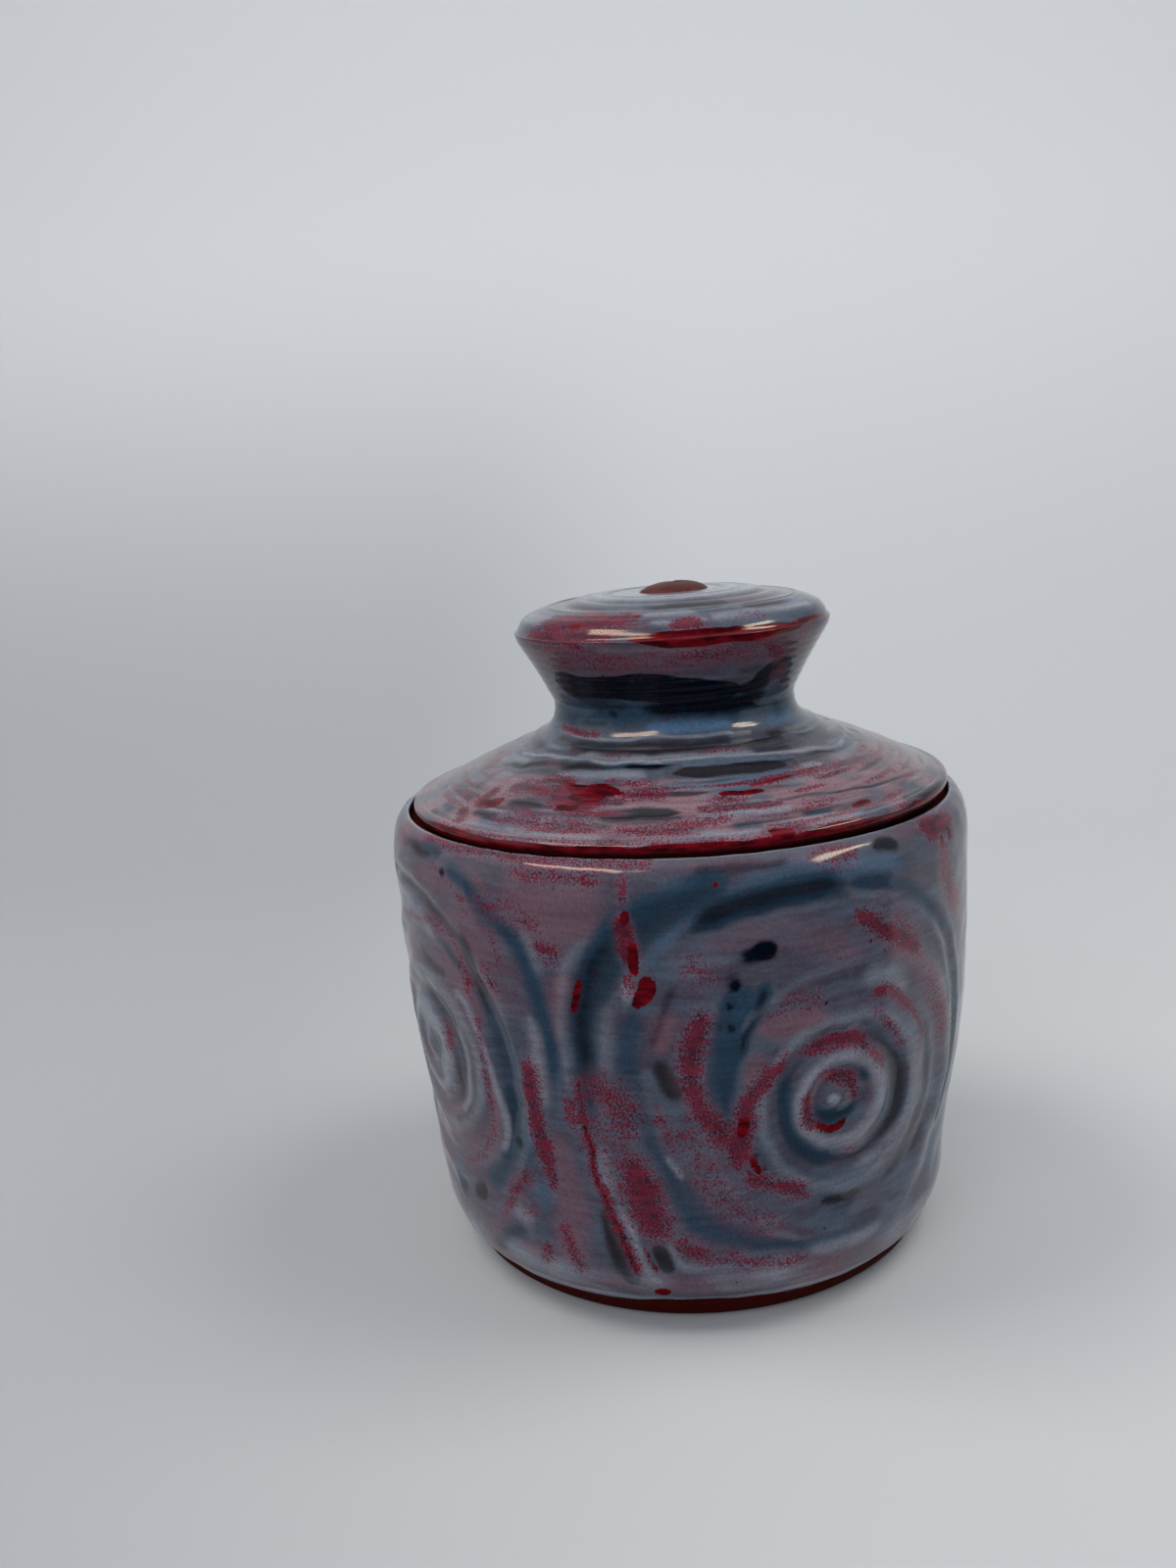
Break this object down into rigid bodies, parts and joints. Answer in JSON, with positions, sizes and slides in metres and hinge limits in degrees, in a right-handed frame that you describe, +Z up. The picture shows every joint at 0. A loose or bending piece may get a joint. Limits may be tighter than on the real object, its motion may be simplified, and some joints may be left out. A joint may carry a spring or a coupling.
{
  "type": "cookie jar",
  "caption": "Round thrown clay jar for biscuits, with a lift-off domed lid that drops into a gallery in the rim and carries a wide hollow knob.",
  "frame": {"origin": "the middle of the foot, on the surface that the jar stands on", "axes": "+Z up along the jar's axis; the front, with a carved swirl just right of the middle, faces -Y"},
  "size_m": [0.1706, 0.1706, 0.1973],
  "materials": {
    "jar_glaze": "gloss",
    "lid_glaze": "gloss",
    "knob_glaze": "gloss",
    "bare_clay": "satin"
  },
  "bodies": {
    "jar": {"jar_body": "jar_glaze"},
    "lid_and_knob": {"lid": "lid_glaze", "lid_knob": "knob_glaze", "knob_button": "bare_clay"}
  },
  "joints": [
    {"name": "lid_lift", "type": "slide", "parent": "jar", "child": "lid_and_knob", "axis": [0, 0, 1], "range_m": [0, 0.15]}
  ]
}
